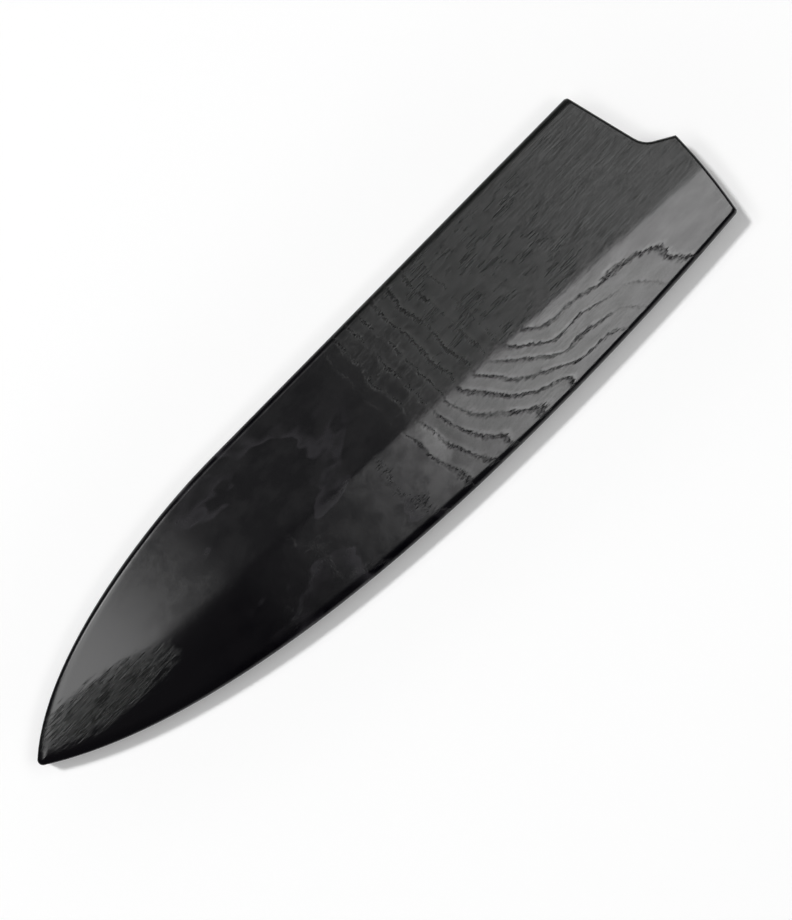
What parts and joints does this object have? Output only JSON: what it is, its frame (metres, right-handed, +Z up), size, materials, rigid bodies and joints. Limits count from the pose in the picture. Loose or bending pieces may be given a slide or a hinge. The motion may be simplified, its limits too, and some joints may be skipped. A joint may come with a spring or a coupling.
{
  "type": "knife blade guard",
  "caption": "Flat wooden sheath for a chef's knife, pointed at the tip, open at a notched mouth, glued up in three layers around a slot, with sealed magnets.",
  "frame": {"origin": "middle of the bottom of the bounding box, on the surface that the back panel lies on", "axes": "+X from the tip out through the mouth, +Y towards the straight spine side, +Z up through the front panel"},
  "size_m": [0.224, 0.0532, 0.0128],
  "materials": {
    "stained_ash_panel": "black-stained ash with open grain under satin lacquer",
    "stained_ash_strip": "black-stained ash, satin lacquer outside, bare stain inside the slot",
    "magnet": "bright nickel plate",
    "plug": "black-stained ash end grain, matte"
  },
  "bodies": {
    "root": {"front_panel": "stained_ash_panel", "back_panel": "stained_ash_panel", "spine_strip": "stained_ash_strip", "edge_strip": "stained_ash_strip", "tip_block": "stained_ash_strip", "front_magnet_tip": "magnet", "front_magnet_middle": "magnet", "front_magnet_heel": "magnet", "back_magnet_tip": "magnet", "back_magnet_middle": "magnet", "back_magnet_heel": "magnet", "front_plug_tip": "plug", "front_plug_middle": "plug", "front_plug_heel": "plug", "back_plug_tip": "plug", "back_plug_middle": "plug", "back_plug_heel": "plug"}
  },
  "joints": []
}
